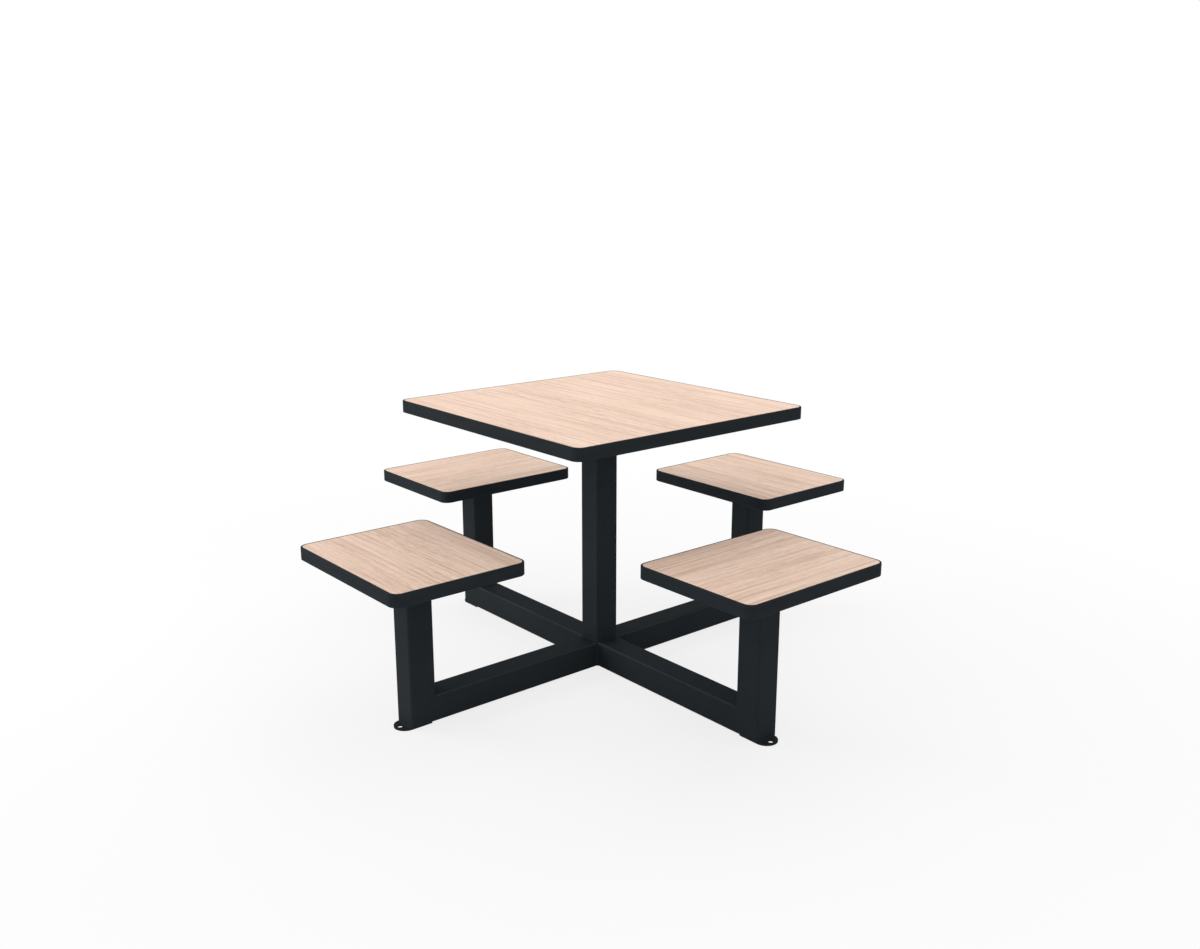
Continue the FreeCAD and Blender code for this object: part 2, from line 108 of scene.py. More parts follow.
def even(scale: float) -> Stretch:
    """The same stretch along all three axes."""
    return (scale, scale, scale)


class Grain(Enum):
    """The axis that a panel's wood grain follows."""

    X = "X"
    Y = "Y"

    @property
    def across(self) -> "Grain":
        """The axis square to the grain."""
        return Grain.Y if self is Grain.X else Grain.X


class Side(Enum):
    """The table's four sides, each with its outward direction."""

    FRONT = (0, -1)
    RIGHT = (1, 0)
    BACK = (0, 1)
    LEFT = (-1, 0)

    @property
    def label(self) -> str:
        """The side's name as the nodes and bodies spell it."""
        return self.name.lower()

    @property
    def outward(self) -> Vector:
        """The level direction from the column to this side's post."""
        return Vector((*self.value, 0))

    @property
    def sideways(self) -> Vector:
        """The level direction along the table's edge on this side."""
        return Vector((-self.value[1], self.value[0], 0))

    @property
    def turn(self) -> float:
        """The angle from the front to this side, about the upright axis."""
        return math.atan2(self.value[1], self.value[0]) + math.pi / 2

    @property
    def grain(self) -> Grain:
        """A seat's grain runs along the table's edge."""
        return Grain.X if self.value[0] == 0 else Grain.Y


class Element(Enum):
    """What is selected in edit mode: the name in a mesh, and the operator's name for it."""

    VERTICES = ("verts", "VERT")
    EDGES = ("edges", "EDGE")
    FACES = ("faces", "FACE")


class Term:
    """A shader socket that takes part in Python arithmetic."""

    def __init__(self, graph: "Graph", socket: bpy.types.NodeSocket) -> None:
        """Keep the socket and the graph that its arithmetic adds nodes to."""
        self.graph = graph
        self.socket = socket

    def output(self, name: str) -> "Term":
        """Another output of the same node."""
        return Term(self.graph, self.socket.node.outputs[name])

    def math(self, operation: str, first: Operand, second: Operand) -> "Term":
        """One Math node, from its operation and its two operands."""
        return self.graph.node("ShaderNodeMath", {"operation": operation}, {0: first, 1: second})

    def __add__(self, other: Operand) -> "Term":
        """Sum."""
        return self.math("ADD", self, other)

    def __radd__(self, other: Operand) -> "Term":
        """Sum, with the number on the left."""
        return self.math("ADD", other, self)

    def __sub__(self, other: Operand) -> "Term":
        """Difference."""
        return self.math("SUBTRACT", self, other)

    def __rsub__(self, other: Operand) -> "Term":
        """Difference, with the number on the left."""
        return self.math("SUBTRACT", other, self)

    def __mul__(self, other: Operand) -> "Term":
        """Product."""
        return self.math("MULTIPLY", self, other)

    def __rmul__(self, other: Operand) -> "Term":
        """Product, with the number on the left."""
        return self.math("MULTIPLY", other, self)

    def __pow__(self, other: Operand) -> "Term":
        """Power."""
        return self.math("POWER", self, other)

    def __gt__(self, other: Operand) -> "Term":
        """One where this is greater, and zero elsewhere."""
        return self.math("GREATER_THAN", self, other)

    def __lt__(self, other: Operand) -> "Term":
        """One where this is less, and zero elsewhere."""
        return self.math("LESS_THAN", self, other)

    def __abs__(self) -> "Term":
        """Size without the sign."""
        return self.math("ABSOLUTE", self, 0.0)

    def larger(self, other: Operand) -> "Term":
        """The larger of two values."""
        return self.math("MAXIMUM", self, other)

    def smaller(self, other: Operand) -> "Term":
        """The smaller of two values."""
        return self.math("MINIMUM", self, other)

    def hypotenuse(self, other: "Term") -> "Term":
        """The length of the long side over two sides at a right angle."""
        return (self ** 2.0 + other ** 2.0) ** 0.5

    def zigzag(self, pitch: float) -> "Term":
        """A rise from zero to one and back, over and over, once in each pitch."""
        return self.math("PINGPONG", self, pitch / 2) * (2 / pitch)

    def graded(self, low: float, high: float) -> "Term":
        """Zero up to a low value, one from a high value, and a straight rise between them."""
        bounds = {"From Min": low, "From Max": high}
        return self.graph.node("ShaderNodeMapRange", inputs={"Value": self, **bounds})


class Graph:
    """The nodes of one material or world."""

    def __init__(self, tree: bpy.types.NodeTree) -> None:
        """Keep the node tree that nodes are added to."""
        self.tree = tree

    @classmethod
    def of_material(cls, name: str) -> "Graph":
        """Start a new material with its Principled shader.

        Args:
            name: the material's name.

        Returns:
            The material's nodes.
        """
        material = bpy.data.materials.new(name)
        material.use_nodes = True
        return cls(material.node_tree)

    @property
    def material(self) -> bpy.types.Material:
        """The material that owns the nodes."""
        return next(item for item in bpy.data.materials if item.node_tree == self.tree)

    def node(
        self,
        kind: str,
        settings: Optional[dict[str, Any]] = None,
        inputs: Optional[dict[SocketKey, Feed]] = None,
        output: SocketKey = 0,
    ) -> Term:
        """Add one node.

        Args:
            kind: the node's type.
            settings: its properties, set before its sockets.
            inputs: values or links for its input sockets.
            output: which output to hand back.

        Returns:
            That output.
        """
        made = self.tree.nodes.new(kind)
        for name, value in (settings or {}).items():
            setattr(made, name, value)
        self.feed(made, inputs or {})
        return Term(self, made.outputs[output])

    def feed(self, node: bpy.types.Node, inputs: dict[SocketKey, Feed]) -> None:
        """Set or link a node's input sockets.

        Args:
            node: the node to feed.
            inputs: values or links by socket.
        """
        for key, value in inputs.items():
            if isinstance(value, Term):
                self.tree.links.new(value.socket, node.inputs[key])
            else:
                node.inputs[key].default_value = value

    def shade(self, inputs: dict[SocketKey, Feed]) -> None:
        """Feed the material's Principled shader."""
        self.feed(self.tree.nodes["Principled BSDF"], inputs)

    def place(self) -> Term:
        """The point on the piece."""
        return self.node("ShaderNodeTexCoord", output="Object")

    def parts(self, vector: Term) -> Term:
        """A vector taken apart, whose outputs are X, Y and Z."""
        return self.node("ShaderNodeSeparateXYZ", inputs={0: vector})

    def point(self, x: Term, y: Term) -> Term:
        """A level vector put together from two numbers."""
        return self.node("ShaderNodeCombineXYZ", inputs={0: x, 1: y})

    def mix(self, share: Operand, first: Feed, second: Feed) -> Term:
        """The colour between two others, all the first at zero and all the second at one."""
        inputs = {MIX_SHARE: share, MIX_FIRST: first, MIX_SECOND: second}
        return self.node("ShaderNodeMix", {"data_type": "RGBA"}, inputs, output=MIX_RESULT)

    def bump(self, height: Term, depth: float) -> Term:
        """The normal of a surface with fine relief, where one stands a depth above zero."""
        return self.node("ShaderNodeBump", inputs={"Height": height, "Distance": depth})

    def seen(self) -> Term:
        """Tell what the camera sees from what lights the object.

        Returns:
            One on rays from the camera and on those that mirror or pass to it, zero on light rays.
        """
        path = self.node("ShaderNodeLightPath", output="Is Camera Ray")
        mirrored = path.output("Is Glossy Ray")
        return path.larger(mirrored).larger(path.output("Is Transmission Ray"))


@dataclass(frozen=True)
class Layer:
    """One layer of a finish's pattern: noise at its own scale, and how much of its colour it lays down.

    The stretch is how many features there are in a metre along each axis, detail and roughness are the
    number and the strength of the finer octaves, and low and high are the noise at which the layer starts
    and is full.
    """

    stretch: Stretch
    detail: float = 2.0
    roughness: float = 0.5
    low: float = 0.0
    high: float = 1.0
    share: float = 1.0

    def noise(self, graph: Graph, place: Term) -> Term:
        """Add the layer's noise.

        Args:
            graph: the finish's nodes.
            place: the point to read the noise at.

        Returns:
            The noise, from zero to one.
        """
        stretched = graph.node("ShaderNodeVectorMath", {"operation": "MULTIPLY"}, {0: place, 1: self.stretch})
        octaves = {"Scale": 1.0, "Detail": self.detail, "Roughness": self.roughness}
        return graph.node("ShaderNodeTexNoise", inputs={"Vector": stretched, **octaves})

    def grade(self, noise: Term) -> Term:
        """The noise as a mask, from zero at its low value to one at its high value."""
        return noise.graded(self.low, self.high)

    def mask(self, graph: Graph, place: Term) -> Term:
        """The layer's own noise as a mask."""
        return self.grade(self.noise(graph, place))


@dataclass(frozen=True)
class OakLaminate:
    """Matt decorative laminate with a pale oak print, its grain along one axis."""

    name: str
    grain: Grain
    pale: Colour = srgb(254, 226, 204)
    warm: Colour = srgb(243, 210, 188)
    brown: Colour = srgb(211, 174, 152)
    dark: Colour = srgb(184, 145, 123)
    drift: Layer = Layer((2.2, 6.0, 1.0), detail=1.0)
    waviness: float = 0.012
    bands: Layer = Layer((0.9, 15.0, 1.0), detail=3.0, low=0.34, high=0.66)
    streaks: Layer = Layer((2.4, 105.0, 1.0), detail=4.0, roughness=0.6, low=0.44, high=0.7, share=0.9)
    lights: Layer = Layer((3.1, 70.0, 1.0), detail=3.0, low=0.56, high=0.76, share=0.6)
    fibres: Layer = Layer((9.0, 620.0, 1.0), low=0.45, high=0.75, share=0.3)
    figure: Layer = Layer((1.7, 6.0, 1.0), detail=1.0, low=0.42, high=0.6)
    flecks: Layer = Layer((21.0, 380.0, 1.0), roughness=0.6, low=0.5, high=0.66, share=0.6)
    pores: Layer = Layer((34.0, 900.0, 1.0), detail=1.0, low=0.6, high=0.67, share=0.5)
    pore_relief: float = 0.7
    relief_depth: float = 0.00004
    roughness: float = 0.5
    streak_dulling: float = 0.06
    specular: float = 0.25

    def build(self) -> bpy.types.Material:
        """Make the finish.

        Returns:
            The material.
        """
        graph = Graph.of_material(self.name)
        place = graph.parts(graph.place())
        along = place.output(self.grain.value)
        across = place.output(self.grain.across.value)
        straight = graph.point(along, across)
        drift = self.drift.noise(graph, straight) - NOISE_MIDDLE
        sheet = graph.point(along, across + drift * self.waviness)

        streaks = self.streaks.mask(graph, sheet)
        lights = self.lights.mask(graph, sheet)
        fibres = self.fibres.noise(graph, sheet)
        flecks = self.flecks.mask(graph, sheet) * self.figure.mask(graph, straight)
        pores = self.pores.mask(graph, sheet)

        colour = graph.mix(self.bands.mask(graph, sheet), self.pale, self.warm)
        colour = graph.mix(streaks * self.streaks.share, colour, self.brown)
        colour = graph.mix(lights * self.lights.share, colour, self.pale)
        colour = graph.mix(self.fibres.grade(fibres) * self.fibres.share, colour, self.brown)
        colour = graph.mix(flecks * self.flecks.share, colour, self.dark)
        colour = graph.mix(pores * self.pores.share, colour, self.dark)
        relief = 1 - (pores * self.pore_relief + fibres * (1 - self.pore_relief))
        graph.shade(
            {
                "Base Color": colour,
                "Roughness": self.roughness + (streaks - pores) * self.streak_dulling,
                "Normal": graph.bump(relief, self.relief_depth),
                "Specular IOR Level": self.specular,
            }
        )
        return graph.material


@dataclass(frozen=True)
class PowderCoat:
    """Fine-textured charcoal powder coat on steel, with a painted highlight along the arms' upper arrises."""

    name: str
    arm_top: float
    arm_reach: float
    tube_half: float
    tube_corner: float
    deep: Colour = srgb(42, 47, 50)
    worn: Colour = srgb(56, 61, 64)
    # Colour of the painted highlight along the arms' upper arrises.
    rubbed: Colour = srgb(66, 71, 74)
    pebbles: Layer = Layer(even(1100.0), low=0.5, high=0.72, share=0.45)
    peel: Layer = Layer(even(260.0), detail=1.0)
    patches: Layer = Layer(even(7.0), detail=3.0, low=0.35, high=0.7, share=0.25)
    pebble_relief: float = 0.6
    relief_depth: float = 0.0002
    rub_start: float = 0.2
    rub_full: float = 0.7
    least_rub: float = 0.55
    height_slack: float = 0.0002
    roughness: float = 0.55
    patch_dulling: float = 0.08
    grit_shine: float = 0.06
    specular: float = 0.012

    def build(self) -> bpy.types.Material:
        """Make the finish.

        Returns:
            The material.
        """
        graph = Graph.of_material(self.name)
        place = graph.place()
        pebbles = self.pebbles.noise(graph, place)
        grit = self.pebbles.grade(pebbles)
        peel = self.peel.noise(graph, place)
        patches = self.patches.mask(graph, place)
        wear = patches * self.patches.share + grit * self.pebbles.share
        # Painted highlight: a lighter colour along the arms' upper arrises, broken up by the patches, stands
        # in for light caught by the rounded edges.
        rub = self.rub(graph, place) * (self.least_rub + patches * (1 - self.least_rub))
        colour = graph.mix(rub, graph.mix(wear, self.deep, self.worn), self.rubbed)
        relief = pebbles * self.pebble_relief + peel * (1 - self.pebble_relief)
        graph.shade(
            {
                "Base Color": colour,
                "Roughness": self.roughness + patches * self.patch_dulling - grit * self.grit_shine,
                "Normal": graph.bump(relief, self.relief_depth),
                "Specular IOR Level": self.specular,
            }
        )
        return graph.material

    def rub(self, graph: Graph, place: Term) -> Term:
        """Find the arms' upper arrises, where a highlight is painted in a lighter colour.

        Args:
            graph: the finish's nodes.
            place: the point on the piece.

        Returns:
            One along the middle of each arris, and zero on the flat faces.
        """
        spread = graph.parts(place)
        height = spread.output("Z")
        far_x = abs(spread.output("X"))
        far_y = abs(spread.output("Y"))
        across = (far_x.smaller(far_y) - self.tube_half) * (1 / self.tube_corner) + 1
        upwards = (height - self.arm_top) * (1 / self.tube_corner) + 1
        low_enough = height < self.arm_top + self.height_slack
        near_enough = far_x.larger(far_y) < self.arm_reach
        return across.smaller(upwards).graded(self.rub_start, self.rub_full) * (low_enough * near_enough)


@dataclass(frozen=True)
class EdgeBand:
    """Charcoal plastic band with the faint level lines of its extrusion."""

    name: str
    deep: Colour = srgb(40, 45, 49)
    pale: Colour = srgb(54, 60, 64)
    lines: Layer = Layer((5.0, 5.0, 700.0))
    grain: Layer = Layer(even(1700.0), detail=1.0, low=0.5, high=0.8, share=0.3)
    tone: Layer = Layer((9.0, 9.0, 60.0), low=0.35, high=0.7, share=0.22)
    line_relief: float = 0.5
    relief_depth: float = 0.00004
    roughness: float = 0.5
    line_dulling: float = 0.1
    specular: float = 0.012

    def build(self) -> bpy.types.Material:
        """Make the finish.

        Returns:
            The material.
        """
        graph = Graph.of_material(self.name)
        place = graph.place()
        lines = self.lines.noise(graph, place)
        grain = self.grain.noise(graph, place)
        tone = self.tone.mask(graph, place)
        mottle = tone * self.tone.share + self.grain.grade(grain) * self.grain.share
        relief = lines * self.line_relief + grain * (1 - self.line_relief)
        graph.shade(
            {
                "Base Color": graph.mix(mottle, self.deep, self.pale),
                "Roughness": self.roughness + lines * self.line_dulling,
                "Normal": graph.bump(relief, self.relief_depth),
                "Specular IOR Level": self.specular,
            }
        )
        return graph.material


@dataclass(frozen=True)
class BackedBoard:
    """Particle board with a dark backing sheet on its underside."""

    name: str
    underside: float
    backing: Colour = srgb(52, 54, 56)
    backing_pale: Colour = srgb(70, 72, 74)
    chip: Colour = srgb(206, 178, 138)
    chip_dark: Colour = srgb(158, 124, 84)
    sheet_thick: float = 0.0006
    chips_per_metre: float = 420.0
    fibres: Layer = Layer((30.0, 420.0, 420.0), share=0.25)
    mottle: Layer = Layer(even(60.0), detail=3.0, low=0.35, high=0.7, share=0.5)
    fibre_relief: float = 0.2
    relief_depth: float = 0.0002
    roughness: float = 0.62
    raw_dulling: float = 0.2
    mottle_shine: float = 0.06
    specular: float = 0.2

    def build(self) -> bpy.types.Material:
        """Make the finish.

        Returns:
            The material.
        """
        graph = Graph.of_material(self.name)
        place = graph.place()
        raw = graph.parts(place).output("Z") > self.underside + self.sheet_thick
        cells = {"Vector": place, "Scale": self.chips_per_metre}
        chips = graph.node("ShaderNodeTexVoronoi", inputs=cells)
        tint = graph.parts(chips.output("Color")).output("X")
        fibres = self.fibres.noise(graph, place)
        mottle = self.mottle.mask(graph, place)
        shade = mottle * self.mottle.share + fibres * self.fibres.share
        sheet = graph.mix(shade, self.backing, self.backing_pale)
        graph.shade(
            {
                "Base Color": graph.mix(raw, sheet, graph.mix(tint, self.chip, self.chip_dark)),
                "Roughness": self.roughness + raw * self.raw_dulling - mottle * self.mottle_shine,
                "Normal": graph.bump(chips * raw + fibres * self.fibre_relief, self.relief_depth),
                "Specular IOR Level": self.specular,
            }
        )
        return graph.material


@dataclass(frozen=True)
class ZincPlate:
    """Bright zinc plating with a faint spangle."""

    name: str
    bright: Colour = srgb(214, 217, 220)
    dull: Colour = srgb(178, 182, 186)
    spangle: Layer = Layer(even(420.0), detail=3.0, low=0.3, high=0.7)
    scratches: Layer = Layer((3000.0, 3000.0, 300.0), detail=1.0)
    relief_depth: float = 0.00002
    roughness: float = 0.3
    spangle_dulling: float = 0.16
    metallic: float = 1.0

    def build(self) -> bpy.types.Material:
        """Make the finish.

        Returns:
            The material.
        """
        graph = Graph.of_material(self.name)
        place = graph.place()
        spangle = self.spangle.mask(graph, place)
        scratches = self.scratches.noise(graph, place)
        graph.shade(
            {
                "Base Color": graph.mix(spangle, self.bright, self.dull),
                "Roughness": self.roughness + spangle * self.spangle_dulling,
                "Normal": graph.bump(scratches, self.relief_depth),
                "Metallic": self.metallic,
            }
        )
        return graph.material


@dataclass(frozen=True)
class TurnedAcetal:
    """Black acetal with the fine rings that a lathe leaves round each seat's axis."""

    name: str
    axis_reach: float
    deep: Colour = srgb(18, 18, 19)
    pale: Colour = srgb(34, 34, 36)
    cloud: Layer = Layer(even(90.0), share=0.6)
    ring_pitch: float = 0.0009
    ring_share: float = 0.2
    ring_depth: float = 0.00005
    roughness: float = 0.34
    cloud_dulling: float = 0.12
    specular: float = 0.3

    def build(self) -> bpy.types.Material:
        """Make the finish.

        Returns:
            The material.
        """
        graph = Graph.of_material(self.name)
        place = graph.place()
        spread = graph.parts(place)
        far_x = abs(spread.output("X"))
        far_y = abs(spread.output("Y"))
        outward = far_x.larger(far_y) - self.axis_reach
        rings = outward.hypotenuse(far_x.smaller(far_y)).zigzag(self.ring_pitch)
        cloud = self.cloud.noise(graph, place)
        shade = cloud * self.cloud.share + rings * self.ring_share
        graph.shade(
            {
                "Base Color": graph.mix(shade, self.deep, self.pale),
                "Roughness": self.roughness + cloud * self.cloud_dulling,
                "Normal": graph.bump(rings, self.ring_depth),
                "Specular IOR Level": self.specular,
            }
        )
        return graph.material


class Workpiece:
    """A new piece under way: a primitive that operators shape in edit mode."""

    def __init__(self, name: str, primitive: Callable[..., Any], **options: Any) -> None:
        """Add a primitive at its size and place, and open it for editing.

        Args:
            name: the piece's name.
            primitive: the operator that adds it.
            options: the operator's sizes and place.
        """
        if bpy.context.mode != "OBJECT":
            bpy.ops.object.mode_set(mode="OBJECT")
        bpy.ops.object.select_all(action="DESELECT")
        primitive(**options)
        self.shape = bpy.context.active_object
        self.shape.name = name
        bpy.ops.object.mode_set(mode="EDIT")

    def choose(self, element: Element, test: Callable[[Any], bool]) -> None:
        """Select the vertices, edges or faces that pass a test, and nothing else.

        Args:
            element: what to select.
            test: says whether one of them is wanted.
        """
        group, mode = element.value
        bpy.ops.mesh.select_mode(type=mode)
        bpy.ops.mesh.select_all(action="DESELECT")
        mesh = bmesh.from_edit_mesh(self.shape.data)
        for item in getattr(mesh, group):
            if test(item):
                item.select_set(True)
        mesh.select_flush_mode()
        bmesh.update_edit_mesh(self.shape.data)

    def draw_out(self, step: Vector, scale: Stretch = UNSCALED) -> None:
        """Extrude what is selected and scale the new end about its own middle.

        Args:
            step: how far the new end moves.
            scale: the new end's size against the old one's.
        """
        bpy.ops.mesh.extrude_region_move(TRANSFORM_OT_translate={"value": step})
        if scale != UNSCALED:
            bpy.ops.transform.resize(value=scale, center_override=self.middle())

    def middle(self) -> Vector:
        """Find the middle of the selected vertices.

        Returns:
            The middle, in the shared frame.
        """
        mesh = bmesh.from_edit_mesh(self.shape.data)
        chosen = [vertex.co for vertex in mesh.verts if vertex.select]
        return self.shape.matrix_world @ (sum(chosen, Vector()) / len(chosen))

    def trim(self, point: Vector, keep: Vector) -> None:
        """Cut off everything behind a plane, which faces the side that stays, and close the cut."""
        bpy.ops.mesh.select_all(action="SELECT")
        bpy.ops.mesh.bisect(plane_co=point, plane_no=keep, use_fill=True, clear_inner=True)

    def close(self, smooth_angle: float = math.radians(35)) -> bpy.types.Object:
        """Clean the mesh, leave edit mode and put the piece's place into its mesh.

        Args:
            smooth_angle: edges flatter than this are shaded smooth.

        Returns:
            The finished object, at the origin.
        """
        bpy.ops.mesh.select_all(action="SELECT")
        bpy.ops.mesh.remove_doubles(threshold=MERGE_REACH)
        bpy.ops.mesh.normals_make_consistent(inside=False)
        bpy.ops.object.mode_set(mode="OBJECT")
        bpy.ops.object.transform_apply(location=True, rotation=True, scale=True)
        bpy.ops.object.shade_smooth_by_angle(angle=smooth_angle)
        return self.shape


def faces_up(face: bmesh.types.BMFace) -> bool:
    """Say whether a face looks up."""
    return face.normal.z > LEVEL_NORMAL


def faces_down(face: bmesh.types.BMFace) -> bool:
    """Say whether a face looks down."""
    return face.normal.z < -LEVEL_NORMAL


def in_lower_half(edge: bmesh.types.BMEdge) -> bool:
    """Say whether an edge lies below its piece's own middle."""
    return all(end.co.z < 0 for end in edge.verts)


def join(name: str, shapes: list[bpy.types.Object]) -> bpy.types.Object:
    """Join meshes into one piece.

    Args:
        name: the joined piece's name.
        shapes: what to join.

    Returns:
        The joined object.
    """
    bpy.ops.object.select_all(action="DESELECT")
    for shape in shapes:
        shape.select_set(True)
    bpy.context.view_layer.objects.active = shapes[0]
    bpy.ops.object.join()
    shapes[0].name = name
    return shapes[0]


def copy_to(
    shape: bpy.types.Object, name: str, step: Vector = Vector(), turn: float = 0.0
) -> bpy.types.Object:
    """Copy a piece, with a mesh of its own, to another place.

    Args:
        shape: the piece to copy, which nothing carries yet.
        name: the copy's name.
        step: how far the copy moves.
        turn: how far it goes round the table's upright axis first.

    Returns:
        The copy, at the origin.
    """
    bpy.ops.object.select_all(action="DESELECT")
    shape.select_set(True)
    bpy.context.view_layer.objects.active = shape
    bpy.ops.object.duplicate(linked=False)
    copy = bpy.context.active_object
    copy.name = name
    copy.rotation_euler.z = turn
    copy.location = step
    bpy.ops.object.transform_apply(location=True, rotation=True, scale=True)
    return copy


def dress(piece: bpy.types.Object, finish: bpy.types.Material) -> None:
    """Give a piece one finish all over.

    Args:
        piece: what to dress.
        finish: its material.
    """
    if not piece.material_slots:
        piece.data.materials.append(finish)
    for slot in piece.material_slots:
        slot.material = finish


def dress_nodes(nodes: Nodes, finishes: dict[str, bpy.types.Material]) -> list[bpy.types.Object]:
    """Give carried-over nodes their finishes.

    Args:
        nodes: the frame's nodes by name.
        finishes: the finish of each node to dress, by the node's name.

    Returns:
        The dressed nodes.
    """
    for name, finish in finishes.items():
        dress(nodes[name], finish)
    return [nodes[name] for name in finishes]


def mount(piece: bpy.types.Object, body: str, finish: bpy.types.Material) -> bpy.types.Object:
    """Dress a new piece and fix it to its body.

    Args:
        piece: the new piece.
        body: the body that it moves with.
        finish: its material.

    Returns:
        The piece.
    """
    dress(piece, finish)
    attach(piece, body)
    return piece


@dataclass(frozen=True)
class WeldSizes:
    """The sizes that every weld bead shares."""

    leg: float = 0.003
    tuck: float = 0.0003
    pitch: float = 0.0026
    ripple: float = 0.07
    taper: float = 0.55
    taper_rings: int = 2
    sides: int = 24
    sink_share: float = 0.6
    crown_share: float = 0.2
    crest_share: float = 0.5
    corner_steps: int = 6
    face_cuts: int = 3


@dataclass(frozen=True)
class CornerWeld:
    """A straight fillet weld in the inner corner of two faces."""

    corner: Vector
    run: Vector
    faces: tuple[Vector, Vector]
    length: float
    sizes: WeldSizes

    def model(self) -> bpy.types.Object:
        """Lay the bead ring by ring, then trim it to the two faces.

        Returns:
            The bead.
        """
        sizes = self.sizes
        sink = sizes.leg * sizes.sink_share
        radius = math.hypot(sizes.leg + sink, sink)
        inwards = -(self.faces[0] + self.faces[1]) * sink
        bead = Workpiece(
            "bead",
            bpy.ops.mesh.primitive_circle_add,
            vertices=sizes.sides,
            radius=radius * sizes.taper,
            fill_type="NGON",
            location=self.corner + inwards - self.run * (self.length / 2),
            rotation=UP.rotation_difference(self.run).to_euler(),
        )
        bpy.ops.mesh.select_all(action="SELECT")
        # Ripples come in pairs of rings, so the count is even.
        rings = 2 * max(sizes.taper_rings, round(self.length / sizes.pitch / 2))
        step = self.run * (self.length / rings)
        size = sizes.taper
        for ring in range(1, rings + 1):
            from_end = min(ring, rings - ring) / sizes.taper_rings
            target = min(1.0, sizes.taper + (1 - sizes.taper) * from_end)
            target += sizes.ripple * (ring % 2)
            bead.draw_out(step, even(target / size))
            size = target
        for face in self.faces:
            bead.trim(self.corner - face * sizes.tuck, face)
        return bead.close()


@dataclass(frozen=True)
class RingWeld:
    """A fillet weld all round a square tube, in the corner under a plate."""

    name: str
    centre: Vector
    tube_side: float
    tube_corner: float
    sizes: WeldSizes

    def model(self) -> bpy.types.Object:
        """Draw the tube's outline, spread it into a bead and ripple the bead.

        Returns:
            The bead.
        """
        sizes = self.sizes
        tuck = sizes.tuck
        side = self.tube_side - 2 * tuck
        half = side / 2
        ring = Workpiece(
            self.name,
            bpy.ops.mesh.primitive_plane_add,
            size=side,
            location=self.centre + UP * tuck,
        )
        bpy.ops.mesh.select_all(action="SELECT")
        bpy.ops.mesh.bevel(offset=self.tube_corner, affect="VERTICES", segments=sizes.corner_steps)
        ring.choose(Element.EDGES, lambda edge: edge.calc_length() > half)
        bpy.ops.mesh.subdivide(number_cuts=2 * round(half / sizes.pitch) - 1)
        ring.choose(Element.FACES, lambda face: True)
        bpy.ops.mesh.delete(type="ONLY_FACE")
        bpy.ops.mesh.select_mode(type="EDGE")
        bpy.ops.mesh.select_all(action="SELECT")
        ring.draw_out(-UP * (sizes.leg + tuck))
        ring.choose(Element.EDGES, lambda edge: all(abs(end.co.z) < tuck for end in edge.verts))
        spread = (side + 2 * (sizes.leg + tuck)) / side
        ring.draw_out(Vector(), (spread, spread, 1.0))
        ring.choose(Element.EDGES, lambda edge: edge.is_boundary)
        crown = sizes.leg * sizes.crown_share / half
        bpy.ops.mesh.bridge_edge_loops(
            number_cuts=sizes.face_cuts, profile_shape_factor=crown, profile_shape="SMOOTH"
        )

        def on_crest(vertex: bmesh.types.BMVert) -> bool:
            """Find the ripples' crests on the bead's open face.

            Args:
                vertex: a vertex of the bead.

            Returns:
                Whether it lies on a crest.
            """
            far = max(abs(vertex.co.x), abs(vertex.co.y))
            run = min(abs(vertex.co.x), abs(vertex.co.y))
            on_face = tuck < -vertex.co.z < sizes.leg and far - half > tuck
            return on_face and (run / (2 * sizes.pitch)) % 1 < sizes.crest_share

        ring.choose(Element.VERTICES, on_crest)
        bpy.ops.transform.shrink_fatten(value=sizes.leg * sizes.ripple)
        return ring.close()


